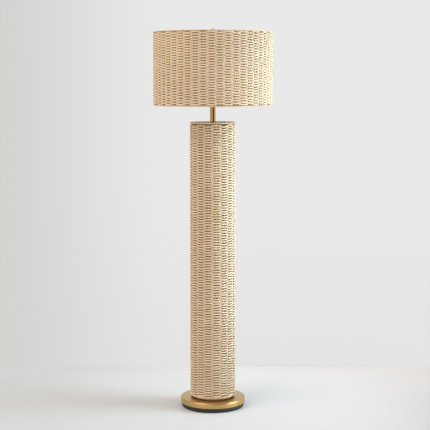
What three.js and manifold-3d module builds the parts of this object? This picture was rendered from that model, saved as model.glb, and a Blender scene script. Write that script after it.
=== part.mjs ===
// Rattan floor lamp: a brass-covered round base, a woven column, a brass neck and a woven drum shade
// that rests on a harp under a finial. Millimetres, +Z up. The origin is on the floor, on the lamp's axis.
// The front faces -Y, the harp lies in the XZ plane, and the cord outlet is at the back.
import * as THREE from "three";
import { mergeVertices } from "three/addons/utils/BufferGeometryUtils.js";
import Module from "manifold-3d";

const wasm = await Module();
wasm.setup();

// Driving dimensions
const baseDiameter = 250;
const plinthHeight = 17.5; // black band that shows under the brass cover
const coverHeight = 21; // brass wall above the plinth
const footGap = 6; // shadow gap between the base and the lowest strand of the column
const columnDiameter = 179; // over the strands
const columnHeight = 1065.5;
const neckDiameter = 22;
const neckShow = 61.9; // neck between the column and the shade
const shadeDiameter = 457.2;
const shadeHeight = 279.4;
const fitterDrop = 12; // from the shade's top edge down to the top of the spider's washer
const harpHeight = 241.3; // from the saddle up to the seat of the shade

// Clearances and cuts
const seat = 0.3; // between two pieces that rest on each other
const running = 0.45; // radial, round a piece that turns or slides
const overrun = 2; // how far a cut goes past the face that it opens

// Facets round a circle, by size of piece
const largeSteps = 36;
const ringSteps = 30; // a multiple of 6, so that each arm of the spider meets a corner of the top ring
const columnSteps = 24;
const mediumSteps = 18;
const smallSteps = 12;
const wireSides = 6;

// Weave
const strandPitch = 4.75; // height of one woven strand
const strandsPerCourse = 2.25; // strands that one course of the relief stands for
const weaveRelief = 5; // depth from a strand's crown over a stake to where it dives behind
const borderHeight = 7.5; // twined border at each end of a woven wall
const columnStakes = 17;
const shadeStakes = 47;

// Heights above the floor
const plinthTop = plinthHeight;
const baseTop = plinthTop + coverHeight;
const weaveFoot = baseTop + footGap;
const columnTop = weaveFoot + columnHeight;
const shadeBottom = columnTop + neckShow;
const shadeTop = shadeBottom + shadeHeight;

// Colours
const rattanColour = 0xcbb08a;
const brassColour = 0xb08d4e;
const blackColour = 0x1b1b1d;
const boardColour = 0xb59a74;
const liningColour = 0xe9e2d2;
const steelColour = 0xb9b9b6;
const brownPlasticColour = 0x2c2320;
const paperColour = 0xa58f6c;
const glassColour = 0xf4f2ec;

const finish = (color, roughness, metalness = 0) =>
  new THREE.MeshStandardMaterial({ color, roughness, metalness });
const rattan = finish(rattanColour, 0.75);
const brass = finish(brassColour, 0.3, 1);
const blackIron = finish(blackColour, 0.6, 0.4);
const felt = finish(blackColour, 0.95);
const blackPlastic = finish(blackColour, 0.45);
const board = finish(boardColour, 0.8);
const lining = finish(liningColour, 0.9);
const steel = finish(steelColour, 0.35, 1);
const brownPlastic = finish(brownPlasticColour, 0.4);
const paper = finish(paperColour, 0.9);
const glass = finish(glassColour, 0.35);

// Distance from the axis to the middle of a facet, for a circle of that many facets
const apothem = (radius, steps) => radius * Math.cos(Math.PI / steps);
// Radius of the facets' corners that leaves the given room inside the facets
const roundOutside = (radius, steps) => radius / Math.cos(Math.PI / steps);

// A solid of revolution about Z, from [radius, height] pairs listed anticlockwise
function turned(profile, steps) {
  const points = profile.map(([radius, height]) => new THREE.Vector2(radius, height));
  if (profile[0][0] !== 0) points.push(points[0].clone());
  return new THREE.LatheGeometry(points, steps).rotateX(Math.PI / 2);
}

// A plain ring or disc about Z
function ring(inner, outer, low, high, steps) {
  return turned([[inner, low], [outer, low], [outer, high], [inner, high]], steps);
}

// A solid rod about Z
function rod(radius, low, high, steps) {
  return turned([[0, low], [radius, low], [radius, high], [0, high]], steps);
}

// Points of an arc in a profile, with angles in quarter turns
function arc(centreRadius, centreHeight, size, from, to, count) {
  return Array.from({ length: count + 1 }, (_, i) => {
    const angle = ((from + ((to - from) * i) / count) * Math.PI) / 2;
    return [centreRadius + size * Math.cos(angle), centreHeight + size * Math.sin(angle)];
  });
}

// A round bar bent along a curve
function bentWire(curve, radius, steps, sides = wireSides) {
  const section = new THREE.Shape(
    Array.from({ length: sides }, (_, i) => {
      const angle = (2 * Math.PI * i) / sides;
      return new THREE.Vector2(radius * Math.cos(angle), radius * Math.sin(angle));
    }),
  );
  return new THREE.ExtrudeGeometry(section, { steps, extrudePath: curve, bevelEnabled: false });
}

function solidOf(geometry) {
  const bare = new THREE.BufferGeometry();
  const source = geometry.index ? geometry.toNonIndexed() : geometry;
  bare.setAttribute("position", source.getAttribute("position").clone());
  const merged = mergeVertices(bare, 1e-4);
  return new wasm.Manifold(
    new wasm.Mesh({
      numProp: 3,
      vertProperties: merged.attributes.position.array,
      triVerts: new Uint32Array(merged.index.array),
    }),
  );
}

function geometryOf(solid) {
  const mesh = solid.getMesh();
  const geometry = new THREE.BufferGeometry();
  geometry.setAttribute("position", new THREE.BufferAttribute(new Float32Array(mesh.vertProperties), 3));
  geometry.setIndex(new THREE.BufferAttribute(new Uint32Array(mesh.triVerts), 1));
  return geometry;
}

// The first geometry with the others cut away
function cut(geometry, ...tools) {
  return geometryOf(tools.reduce((left, tool) => left.subtract(solidOf(tool)), solidOf(geometry)));
}

const lamp = new THREE.Group();
lamp.name = "rattan_floor_lamp";

function add(name, geometry, material) {
  const mesh = new THREE.Mesh(geometry, material);
  mesh.name = name;
  lamp.add(mesh);
  return mesh;
}

// A woven sleeve that stands on z = 0. One weaver spirals up round an odd number of stakes, over one and
// behind the next, so every crown has a dip above, below and on both sides of it. A twined border closes
// each end. The facets run corner to corner between the dips, which leaves each crown as a low pyramid.
function wovenSleeve({ outer, inner, height, stakes, course }) {
  const corners = [];
  const faces = [];
  const place = (index, radius, z) => {
    const angle = (2 * Math.PI * index) / stakes;
    corners.push(radius * Math.sin(angle), -radius * Math.cos(angle), z);
    return corners.length / 3 - 1;
  };
  const hoop = (radius, z) => Array.from({ length: stakes }, (_, i) => place(i, radius, z));
  const quad = (a, b, c, d) => faces.push(a, b, d, a, d, c);
  const band = (low, high) =>
    low.forEach((_, i) => quad(low[i], low[(i + 1) % stakes], high[i], high[(i + 1) % stakes]));

  const dip = outer - weaveRelief;
  const bodyHeight = height - 2 * borderHeight;
  const courses = Math.max(3, Math.round(bodyHeight / course));
  const rise = bodyHeight / courses;
  const turnsUp = courses - 1;

  const foot = hoop(dip, 0);
  const lowerBead = hoop(outer, borderHeight / 2);
  const lowerGroove = hoop(dip, borderHeight);
  const weaver = Array.from({ length: stakes * turnsUp + 1 }, (_, k) =>
    place(k % stakes, k % 2 ? dip : outer, borderHeight + rise * (k / stakes + 1 / 2)),
  );
  const upperGroove = hoop(dip, height - borderHeight);
  const upperBead = hoop(outer, height - borderHeight / 2);
  const head = hoop(dip, height);
  const boreTop = hoop(inner, height);
  const boreFoot = hoop(inner, 0);

  band(foot, lowerBead);
  band(lowerBead, lowerGroove);
  const lastTurn = weaver.length - 1 - stakes;
  for (let i = 0; i < stakes; i += 1) {
    const next = (i + 1) % stakes;
    quad(lowerGroove[i], lowerGroove[next], weaver[i], weaver[i + 1]);
    quad(weaver[lastTurn + i], weaver[lastTurn + i + 1], upperGroove[i], upperGroove[next]);
  }
  faces.push(lowerGroove[0], weaver[0], weaver[stakes]);
  faces.push(weaver[lastTurn], upperGroove[0], weaver[weaver.length - 1]);
  for (let k = 0; k < lastTurn; k += 1) {
    const [a, b, c, d] = [weaver[k], weaver[k + 1], weaver[k + stakes], weaver[k + stakes + 1]];
    if (k % 2) quad(a, b, c, d);
    else faces.push(a, b, c, b, d, c);
  }
  band(upperGroove, upperBead);
  band(upperBead, head);
  band(head, boreTop);
  band(boreTop, boreFoot);
  band(boreFoot, foot);

  const geometry = new THREE.BufferGeometry();
  geometry.setAttribute("position", new THREE.Float32BufferAttribute(corners, 3));
  geometry.setIndex(faces);
  return geometry;
}

// Threaded pipe that ties the lamp together, from under the weight to the socket
const pipeRadius = 5.15;
const pipeBore = 3.4;
const pipeHole = pipeRadius + running;

// Base: felt pad, cast weight, spun brass cover
const baseRadius = baseDiameter / 2;
const padInset = 3; // from the plinth's side
const padThickness = 3;
const plinthInset = 4; // from the cover's side
const plinthChamfer = 2.5;
const coverWall = 1.5;
const coverFillet = 3;
const nutWell = 18; // depth of the recess under the weight
const nutWellRadius = 70;

const plinthRadius = baseRadius - plinthInset;
const weightFoot = padThickness + seat;
const weightTop = baseTop - coverWall - seat;
const weightRadius = apothem(baseRadius - coverWall, largeSteps) - seat;
const nutWellTop = weightFoot + nutWell;

// Cord outlet through the back of the plinth
const grommetFlange = 5.5; // radius
const grommetFlangeThickness = 2;
const grommetBody = 4.6; // radius
const grommetLength = 14;
const outletBore = 3.5; // radius
const outletHeight = weightFoot + grommetFlange + seat;

function alongBack(geometry) {
  return geometry.rotateX(-Math.PI / 2).translate(0, 0, outletHeight);
}

function makeBase() {
  add("floor_pad", rod(plinthRadius - padInset, 0, padThickness, largeSteps), felt);

  const block = turned(
    [
      [pipeHole, weightFoot],
      [plinthRadius - plinthChamfer, weightFoot],
      [plinthRadius, weightFoot + plinthChamfer],
      [plinthRadius, plinthTop],
      [weightRadius, plinthTop],
      [weightRadius, weightTop - coverFillet],
      [weightRadius - coverFillet, weightTop],
      [pipeHole, weightTop],
    ],
    largeSteps,
  );
  const well = rod(nutWellRadius, weightFoot - overrun, nutWellTop, largeSteps);
  const tunnelRadius = grommetBody + seat;
  const tunnel = alongBack(rod(tunnelRadius, nutWellRadius - overrun * 2, plinthRadius + overrun, smallSteps));
  add("base_weight", cut(block, well, tunnel), blackIron);

  const roof = coverFillet - coverWall;
  add(
    "base_cover",
    turned(
      [
        [baseRadius - coverWall, plinthTop],
        [baseRadius, plinthTop],
        ...arc(baseRadius - coverFillet, baseTop - coverFillet, coverFillet, 0, 1, 3),
        [pipeHole, baseTop],
        [pipeHole, baseTop - coverWall],
        [baseRadius - coverFillet, baseTop - coverWall],
        [baseRadius - coverWall, baseTop - coverWall - roof],
      ],
      largeSteps,
    ),
    brass,
  );

  const flangeFace = plinthRadius + seat;
  add(
    "cord_grommet",
    alongBack(
      turned(
        [
          [outletBore, flangeFace - grommetLength],
          [grommetBody, flangeFace - grommetLength],
          [grommetBody, flangeFace],
          [grommetFlange, flangeFace],
          [grommetFlange, flangeFace + grommetFlangeThickness],
          [outletBore, flangeFace + grommetFlangeThickness],
        ],
        smallSteps,
      ),
    ),
    blackPlastic,
  );
}

// Nut and washer that pull the pipe down under the weight
const washerThickness = 1.6;
const washerRadius = 16;
const nutHeight = 5;
const nutAcrossCorners = 20;
const pipeBelowNut = 1;

const washerTop = nutWellTop - seat;
const nutTop = washerTop - washerThickness - seat;
const pipeFoot = nutTop - nutHeight - pipeBelowNut;

function makeBaseFasteners() {
  add("base_washer", ring(pipeHole, washerRadius, washerTop - washerThickness, washerTop, smallSteps), steel);
  const hexagon = rod(nutAcrossCorners / 2, nutTop - nutHeight, nutTop, 6);
  const bore = rod(pipeHole, nutTop - nutHeight - overrun, nutTop + overrun, smallSteps);
  add("base_nut", cut(hexagon, bore), steel);
}

// Column: an inner tube with a board at each end, and the woven sleeve round it
const tubeWall = 5;
const sleeveWall = 14; // from the inside of the weave to its crowns
const footBoardThickness = 12;
const capPlugDepth = 12;
const capFlange = 3; // thickness of the cap where it covers the tube's end
const capRecess = 4; // the cap lies this far below the woven border

const columnRadius = columnDiameter / 2;
const sleeveInner = columnRadius - sleeveWall;
const tubeRadius = apothem(sleeveInner, columnStakes) - seat;
const tubeInner = tubeRadius - tubeWall;
const boardRadius = tubeInner - seat;
const tubeFoot = baseTop + seat;
const capTop = columnTop - capRecess;
const tubeTop = capTop - capFlange - seat;

function makeColumn() {
  add("column_tube", ring(tubeInner, tubeRadius, tubeFoot, tubeTop, columnSteps), board);
  add(
    "column_foot_board",
    ring(pipeHole, boardRadius, tubeFoot, tubeFoot + footBoardThickness, columnSteps),
    board,
  );
  const flangeFoot = capTop - capFlange;
  add(
    "column_cap",
    turned(
      [
        [pipeHole, tubeTop - capPlugDepth],
        [boardRadius, tubeTop - capPlugDepth],
        [boardRadius, flangeFoot],
        [tubeRadius, flangeFoot],
        [tubeRadius, capTop],
        [pipeHole, capTop],
      ],
      columnSteps,
    ),
    board,
  );
  const sleeve = wovenSleeve({
    outer: columnRadius,
    inner: sleeveInner,
    height: columnHeight,
    stakes: columnStakes,
    course: strandPitch * strandsPerCourse,
  });
  add("column_weave", sleeve, rattan).position.z = weaveFoot;
}

// Neck: a seating ring, the brass tube, and the ring that closes its top under the harp's saddle
const neckWall = 1.2;
const neckRingWidth = 9; // beyond the neck
const neckRingThickness = 2.6;
const topRingWidth = 1.5; // beyond the neck
const topRingThickness = 2.4;
const ringSpigot = 4; // how far each ring reaches into the tube

const neckRadius = neckDiameter / 2;
const spigotRadius = neckRadius - neckWall - seat;
const neckRingFoot = capTop + seat;
const neckFoot = neckRingFoot + neckRingThickness + seat;

// Shade seat and harp
const washerDisc = 16; // radius of the spider's washer
const washerDiscThickness = 2;
const studFlangeRadius = 9;
const studFlangeThickness = 2;
const studPostRadius = 3.15;
const studPostHeight = 17;
const studBlockRadius = 6;
const harpWire = 1.75; // radius

const shadeSeat = shadeTop - fitterDrop - washerDiscThickness - seat; // top of the stud's flange
const saddleFoot = shadeSeat - harpHeight;
const neckTop = saddleFoot - seat - topRingThickness - seat;

function makeNeck() {
  add(
    "neck_ring",
    turned(
      [
        [pipeHole, neckRingFoot],
        [neckRadius + neckRingWidth, neckRingFoot],
        [neckRadius + neckRingWidth, neckRingFoot + neckRingThickness / 2],
        [neckRadius + neckRingWidth / 2, neckRingFoot + neckRingThickness],
        [spigotRadius, neckRingFoot + neckRingThickness],
        [spigotRadius, neckRingFoot + neckRingThickness + ringSpigot],
        [pipeHole, neckRingFoot + neckRingThickness + ringSpigot],
      ],
      mediumSteps,
    ),
    brass,
  );
  add("neck_tube", ring(neckRadius - neckWall, neckRadius, neckFoot, neckTop, mediumSteps), brass);
  const topRingFoot = neckTop + seat;
  add(
    "neck_top_ring",
    turned(
      [
        [pipeHole, topRingFoot - ringSpigot],
        [spigotRadius, topRingFoot - ringSpigot],
        [spigotRadius, topRingFoot],
        [neckRadius + topRingWidth, topRingFoot],
        [neckRadius + topRingWidth, topRingFoot + topRingThickness / 2],
        [neckRadius, topRingFoot + topRingThickness],
        [pipeHole, topRingFoot + topRingThickness],
      ],
      mediumSteps,
    ),
    brass,
  );
}

// Harp saddle: a flat strip bent into a U, whose narrow tips stand inside the sleeves
const saddleThickness = 1.6;
const saddleWidth = 14;
const saddleShoulder = 8; // height of the full-width arms
const saddleTip = 16; // height of the narrow tips above the shoulder
const tipWidth = 3;
const saddleHalfSpan = 28.8; // to the outside of the arms
const sleeveWallThickness = 1;
const sleeveLength = 14;
const sleeveTravel = 12;

const saddleTop = saddleFoot + saddleThickness;
const shoulderTop = saddleFoot + saddleShoulder;
const legX = saddleHalfSpan + seat + harpWire;
const sleeveX = saddleHalfSpan + (seat + 2 * harpWire - saddleThickness) / 2;
const sleeveBoreX = (saddleThickness + seat + 2 * harpWire) / 2;
const sleeveBore = roundOutside(Math.hypot(sleeveBoreX, tipWidth / 2), smallSteps) + seat;

function makeSaddle() {
  const strip = new THREE.Shape();
  strip.moveTo(-saddleHalfSpan, saddleFoot);
  strip.lineTo(saddleHalfSpan, saddleFoot);
  strip.lineTo(saddleHalfSpan, shoulderTop + saddleTip);
  strip.lineTo(saddleHalfSpan - saddleThickness, shoulderTop + saddleTip);
  strip.lineTo(saddleHalfSpan - saddleThickness, saddleTop);
  strip.lineTo(saddleThickness - saddleHalfSpan, saddleTop);
  strip.lineTo(saddleThickness - saddleHalfSpan, shoulderTop + saddleTip);
  strip.lineTo(-saddleHalfSpan, shoulderTop + saddleTip);
  const bent = new THREE.ExtrudeGeometry(strip, { depth: saddleWidth, bevelEnabled: false })
    .rotateX(Math.PI / 2)
    .translate(0, saddleWidth / 2, 0);
  const side = new THREE.Shape();
  side.moveTo(-saddleWidth / 2, saddleFoot - overrun);
  side.lineTo(saddleWidth / 2, saddleFoot - overrun);
  side.lineTo(saddleWidth / 2, shoulderTop);
  side.lineTo(tipWidth / 2, shoulderTop);
  side.lineTo(tipWidth / 2, shoulderTop + saddleTip + overrun);
  side.lineTo(-tipWidth / 2, shoulderTop + saddleTip + overrun);
  side.lineTo(-tipWidth / 2, shoulderTop);
  side.lineTo(-saddleWidth / 2, shoulderTop);
  const length = 2 * (saddleHalfSpan + overrun);
  const blank = new THREE.ExtrudeGeometry(side, { depth: length, bevelEnabled: false })
    .rotateX(Math.PI / 2)
    .rotateZ(Math.PI / 2)
    .translate(-length / 2, 0, 0);
  const hole = rod(pipeHole, saddleFoot - overrun, saddleTop + overrun, smallSteps);
  const stamped = solidOf(bent).intersect(solidOf(blank)).subtract(solidOf(hole));
  add("harp_saddle", geometryOf(stamped), brass);
}

// Harp: one bent wire with a block and threaded stud at its crown
const harpHalfWidth = 58; // to the wire's centre at the widest
const crownRadius = 26; // where the arch turns into the flat crown
const legStraightShares = [0, 0.06, 0.12, 0.17]; // straight part of a leg, up the harp's height
const crownShares = [1, 0.5]; // level part of the crown, out from its middle
const bellyShares = [[0.32, 0.8], [0.5, 1], [0.7, 0.98], [0.86, 0.74]]; // [height, half width]

const wireLevel = shadeSeat - studFlangeThickness - studBlockRadius / 2 - harpWire;
const legFoot = shoulderTop + seat;
const legHeight = wireLevel - legFoot;

function harpLeg(side) {
  const point = (x, heightShare) => new THREE.Vector3(side * x, 0, legFoot + legHeight * heightShare);
  return [
    ...legStraightShares.map((share) => point(legX, share)),
    ...bellyShares.map(([heightShare, widthShare]) => point(harpHalfWidth * widthShare, heightShare)),
    ...crownShares.map((share) => point(crownRadius * share, 1)),
  ];
}

function makeHarp() {
  const crown = new THREE.Vector3(0, 0, wireLevel);
  const points = [...harpLeg(-1), crown, ...harpLeg(1).reverse()];
  const path = new THREE.CatmullRomCurve3(points, false, "centripetal");
  add("harp", bentWire(path, harpWire, 40), brass);

  const blockFoot = wireLevel - studBlockRadius / 2 - harpWire;
  const stud = turned(
    [
      [0, blockFoot],
      [studBlockRadius, blockFoot],
      [studBlockRadius, shadeSeat - studFlangeThickness],
      [studFlangeRadius, shadeSeat - studFlangeThickness],
      [studFlangeRadius, shadeSeat],
      [studPostRadius, shadeSeat],
      [studPostRadius, shadeSeat + studPostHeight],
      [0, shadeSeat + studPostHeight],
    ],
    smallSteps,
  );
  const wireHole = roundOutside(harpWire + seat, wireSides);
  const bore = new THREE.LineCurve3(
    new THREE.Vector3(-crownRadius, 0, wireLevel),
    new THREE.Vector3(crownRadius, 0, wireLevel),
  );
  add("harp_stud", cut(stud, bentWire(bore, wireHole, 1)), brass);

  for (const [name, side] of [["harp_sleeve_left", -1], ["harp_sleeve_right", 1]]) {
    const sleeve = ring(sleeveBore, sleeveBore + sleeveWallThickness, 0, sleeveLength, smallSteps);
    add(name, sleeve, brass).position.set(side * sleeveX, 0, legFoot);
  }
}

// Socket: cap, shell, paper insulator, switch body, screw shell and centre contact
const socketWall = 0.9;
const capCollarRadius = 8;
const capCollarHeight = 7;
const capCone = 13;
const capRim = 5;
const shellRadius = 18;
const shellAboveCap = 42;
const shellFlare = 1.4;
const insulatorWall = 0.6;
const switchBodyHeight = 24;
const stemRadius = 2;
const knobAboveCap = 9; // from the cap's rim up to the switch stem
const knobRadius = 6.5;
const knobLength = 11;
const knobStand = 6; // stem that shows between the shell and the knob
const knobNeckShare = 0.6;
const knobCrownShare = 0.85;
const stemDepth = 9; // how far the stem reaches into the switch body
const screwShellWall = 0.8;
const bulbCapRadius = 13;
const bulbInsertion = 21;
const contactThickness = 1;
const contactRadius = 4;

const socketFoot = saddleTop + seat;
const coneTop = socketFoot + capCollarHeight + capCone;
const capRimTop = coneTop + capRim;
const stemHeight = capRimTop + knobAboveCap;
const switchFoot = coneTop;
const switchTop = switchFoot + switchBodyHeight;
const shellTop = capRimTop + shellAboveCap;
const shellFoot = coneTop + socketWall;
const lowerShellRadius = shellRadius - socketWall - seat;
const insulatorRadius = lowerShellRadius - socketWall - seat;
const switchBodyRadius = insulatorRadius - insulatorWall - seat;
const contactTop = switchTop + seat + contactThickness;
const pipeTop = socketFoot + capCollarHeight;

function alongFront(geometry) {
  return geometry.rotateX(Math.PI / 2).translate(0, 0, stemHeight);
}

function makeSocket() {
  add(
    "socket_cap",
    turned(
      [
        [pipeHole, socketFoot],
        [capCollarRadius, socketFoot],
        [capCollarRadius, socketFoot + capCollarHeight],
        [shellRadius, coneTop],
        [shellRadius, capRimTop],
        [shellRadius - socketWall, capRimTop],
        [shellRadius - socketWall, coneTop + socketWall / 2],
        [capCollarRadius - socketWall, socketFoot + capCollarHeight + socketWall],
        [pipeHole, socketFoot + capCollarHeight + socketWall],
      ],
      mediumSteps,
    ),
    brass,
  );

  const stemHole = alongFront(
    rod(stemRadius + running, insulatorRadius - stemDepth, shellRadius + overrun, smallSteps),
  );
  const beadFoot = capRimTop + seat;
  const beadTop = beadFoot + socketWall * 2;
  const shell = turned(
    [
      [lowerShellRadius - socketWall, shellFoot],
      [lowerShellRadius, shellFoot],
      [lowerShellRadius, beadFoot],
      [shellRadius, beadFoot],
      [shellRadius, beadTop],
      [lowerShellRadius, beadTop + socketWall],
      [lowerShellRadius, shellTop - shellFlare * 2],
      [lowerShellRadius + shellFlare, shellTop],
      [lowerShellRadius + shellFlare - socketWall, shellTop],
      [lowerShellRadius - socketWall, shellTop - shellFlare * 2],
    ],
    mediumSteps,
  );
  add("socket_shell", cut(shell, stemHole), brass);

  const insulator = ring(
    insulatorRadius - insulatorWall,
    insulatorRadius,
    shellFoot,
    shellTop - shellFlare * 2,
    mediumSteps,
  );
  add("socket_insulator", cut(insulator, stemHole), paper);

  const bodyBore = alongFront(
    rod(stemRadius + running, switchBodyRadius - stemDepth, shellRadius, smallSteps),
  );
  const body = rod(switchBodyRadius, switchFoot + seat, switchTop, mediumSteps);
  add("switch_body", cut(body, bodyBore), brownPlastic);

  const screwBore = bulbCapRadius + running;
  const screwTop = contactTop + seat + bulbInsertion;
  add(
    "socket_screw_shell",
    ring(screwBore, screwBore + screwShellWall, switchTop + seat, screwTop, mediumSteps),
    brass,
  );
  add("socket_contact", rod(contactRadius, switchTop + seat, contactTop, smallSteps), brass);

  const stemInner = switchBodyRadius - stemDepth + running;
  const knobFoot = shellRadius + knobStand;
  add(
    "switch_stem",
    alongFront(rod(stemRadius, stemInner, knobFoot - seat, smallSteps)),
    steel,
  );
  add(
    "switch_knob",
    alongFront(
      turned(
        [
          [0, knobFoot],
          [knobRadius * knobNeckShare, knobFoot],
          [knobRadius, knobFoot + knobLength * knobNeckShare / 2],
          [knobRadius, knobFoot + knobLength * knobCrownShare],
          [knobRadius * knobCrownShare, knobFoot + knobLength],
          [0, knobFoot + knobLength],
        ],
        smallSteps,
      ),
    ),
    blackPlastic,
  );
}

// Bulb: frosted glass, screw cap and tip contact
const bulbRadius = 30;
const bulbLength = 108;
const tipThickness = 2;
const tipRadius = 5;
const bulbNeckShares = [[0.48, 0], [0.5, 0.14], [0.62, 0.32], [0.85, 0.5]]; // [radius, height] of the flare

const capTaper = 3; // height of the bulb cap's tapered foot
const capShow = 3.6; // bulb cap above the screw shell

const tipFoot = contactTop + seat;
const bulbCapFoot = tipFoot + tipThickness + seat;
const bulbCapTop = tipFoot + bulbInsertion + capShow;
const glassFoot = bulbCapTop + seat;
const glassTop = tipFoot + bulbLength;

function makeBulb() {
  add("bulb_contact", rod(tipRadius, tipFoot, tipFoot + tipThickness, smallSteps), steel);
  add(
    "bulb_cap",
    turned(
      [
        [0, bulbCapFoot],
        [tipRadius + seat, bulbCapFoot],
        [bulbCapRadius, bulbCapFoot + capTaper],
        [bulbCapRadius, bulbCapTop],
        [0, bulbCapTop],
      ],
      mediumSteps,
    ),
    steel,
  );
  const globeCentre = glassTop - bulbRadius;
  const neckHeight = globeCentre - glassFoot;
  add(
    "bulb_glass",
    turned(
      [
        [0, glassFoot],
        ...bulbNeckShares.map(([radiusShare, heightShare]) => [
          bulbRadius * radiusShare,
          glassFoot + neckHeight * heightShare,
        ]),
        ...arc(0, globeCentre, bulbRadius, 0, 1, 6).slice(0, -1),
        [0, glassTop],
      ],
      mediumSteps,
    ),
    glass,
  );
}

// Shade: woven wall, lining, two wire rings, and the spider that hangs it on the harp
const shadeWall = 14; // from the inside of the weave to its crowns
const liningThickness = 1.2;
const ringWire = 2; // radius
const ringInset = 3; // from the wall's edge to the wire
const armWire = 1.9; // radius
const armCount = 3;
const washerBore = studPostRadius + running;
const armEndRadius = 10.5; // where an arm ends on the washer
const armBendShare = 0.22; // where an arm bends down, as a share of the ring's radius

const shadeRadius = shadeDiameter / 2;
const shadeInner = shadeRadius - shadeWall;
const liningOuter = shadeInner - seat;
const liningInner = liningOuter - liningThickness;
const ringRadius = apothem(liningInner, shadeStakes) - seat - ringWire;
const washerTopZ = shadeTop - fitterDrop;
const topRingLevel = shadeTop - ringInset - ringWire;
const bottomRingLevel = shadeBottom + ringInset + ringWire;

function makeShade() {
  const wall = wovenSleeve({
    outer: shadeRadius,
    inner: shadeInner,
    height: shadeHeight,
    stakes: shadeStakes,
    course: strandPitch * strandsPerCourse,
  });
  add("shade_weave", wall, rattan).position.z = shadeBottom;
  add("shade_lining", ring(liningInner, liningOuter, shadeBottom, shadeTop, shadeStakes), lining);

  const wireRing = (level) => turned(arc(ringRadius, level, ringWire, 0, 4, 6).slice(0, -1), ringSteps);
  add("shade_top_ring", wireRing(topRingLevel), brass);
  add("shade_bottom_ring", wireRing(bottomRingLevel), brass);

  const discFoot = washerTopZ - washerDiscThickness;
  add("spider_washer", ring(washerBore, washerDisc, discFoot, washerTopZ, smallSteps), brass);
  const armEndLevel = washerTopZ + seat + armWire;
  for (let i = 0; i < armCount; i += 1) {
    const path = new THREE.CatmullRomCurve3(
      [
        new THREE.Vector3(ringRadius - ringWire - running, 0, topRingLevel),
        new THREE.Vector3(ringRadius * armBendShare * 2, 0, topRingLevel),
        new THREE.Vector3(ringRadius * armBendShare, 0, topRingLevel),
        new THREE.Vector3(washerDisc + armWire, 0, armEndLevel),
        new THREE.Vector3(armEndRadius, 0, armEndLevel),
      ],
      false,
      "centripetal",
    );
    const arm = add(`spider_arm_${i + 1}`, bentWire(path, armWire, 12, 6), brass);
    arm.rotation.z = Math.PI / 2 + (2 * Math.PI * i) / armCount;
  }
}

// Finial: a turned brass knob with a blind bore over the stud's post
const finialHeight = 23.5;
const finialFootRadius = 7;
const finialNeckRadius = 4.6;
const finialKnobRadius = 6.6;
const finialBoreTop = 2; // room above the post
const finialNeckShares = [0.14, 0.3]; // where the foot ends and the knob starts, up the finial

function makeFinial() {
  const foot = washerTopZ + seat;
  const top = foot + finialHeight;
  const boreRadius = studPostRadius + running;
  const boreTop = shadeSeat + studPostHeight + finialBoreTop;
  const [footShare, knobShare] = finialNeckShares;
  const knobFillet = finialKnobRadius / 2;
  add(
    "finial",
    turned(
      [
        [boreRadius, foot],
        [finialFootRadius, foot],
        [finialFootRadius, foot + finialHeight * footShare],
        [finialNeckRadius, foot + finialHeight * (footShare + knobShare) / 2],
        [finialKnobRadius, foot + finialHeight * knobShare],
        ...arc(finialKnobRadius - knobFillet, top - knobFillet, knobFillet, 0, 1, 3),
        [0, top],
        [0, boreTop],
        [boreRadius, boreTop],
      ],
      smallSteps,
    ),
    brass,
  );
}

makeBase();
makeBaseFasteners();
makeColumn();
makeNeck();
add("lamp_pipe", ring(pipeBore, pipeRadius, pipeFoot, pipeTop, smallSteps), steel);
makeSaddle();
makeHarp();
makeSocket();
makeBulb();
makeShade();
makeFinial();

export default lamp;
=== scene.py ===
import math
import random

import bmesh
import bpy
from mathutils import Matrix, Vector, noise


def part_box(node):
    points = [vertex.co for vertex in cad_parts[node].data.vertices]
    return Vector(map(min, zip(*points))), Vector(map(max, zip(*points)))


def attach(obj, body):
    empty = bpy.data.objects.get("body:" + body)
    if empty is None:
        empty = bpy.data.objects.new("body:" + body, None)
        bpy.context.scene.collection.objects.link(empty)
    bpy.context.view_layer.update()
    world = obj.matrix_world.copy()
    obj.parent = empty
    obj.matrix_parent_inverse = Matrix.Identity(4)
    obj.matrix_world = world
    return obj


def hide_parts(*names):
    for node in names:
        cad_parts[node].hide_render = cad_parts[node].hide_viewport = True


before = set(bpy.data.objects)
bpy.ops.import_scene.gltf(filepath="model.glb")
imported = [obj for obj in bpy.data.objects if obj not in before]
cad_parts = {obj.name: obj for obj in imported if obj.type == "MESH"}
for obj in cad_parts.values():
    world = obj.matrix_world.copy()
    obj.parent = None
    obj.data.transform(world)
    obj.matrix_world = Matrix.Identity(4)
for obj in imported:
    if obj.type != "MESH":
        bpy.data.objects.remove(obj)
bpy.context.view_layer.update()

scene = bpy.context.scene
scene.view_settings.view_transform = "Standard"

mm = 0.001
wholeTurn = 2 * math.pi
touch = 0.3 * mm  # gap between solids that rest on each other
chance = random.Random(11)


def linked(name, data):
    holder = bpy.data.objects.new(name, data)
    scene.collection.objects.link(holder)
    return holder


# Places read from the frame

def low(node):
    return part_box(node)[0]


def high(node):
    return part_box(node)[1]


def radiusOf(node):  # of a round node on the lamp's axis
    return -low(node).y


def sizes(node):  # its radius, foot and top
    return radiusOf(node), low(node).z, high(node).z


def middle(node):
    return (low(node) + high(node)) / 2


# Camera: a little higher than the shade's foot, tilted a little down

cameraPlace = {
    "distance": 4.6,
    "aside": -0.0004,
    "height": 1.28,
    "tilt": math.radians(6.555),
    "yaw": math.radians(-0.11),
    "lens": 100.42,
    "sensor": 36,
}


def makeCamera():
    camera = linked("camera", bpy.data.cameras.new("camera"))
    camera.data.lens = cameraPlace["lens"]
    camera.data.sensor_width = cameraPlace["sensor"]
    camera.location = (cameraPlace["aside"], -cameraPlace["distance"], cameraPlace["height"])
    camera.rotation_euler = (math.pi / 2 - cameraPlace["tilt"], 0, cameraPlace["yaw"])
    scene.camera = camera


# Shader expressions

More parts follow.
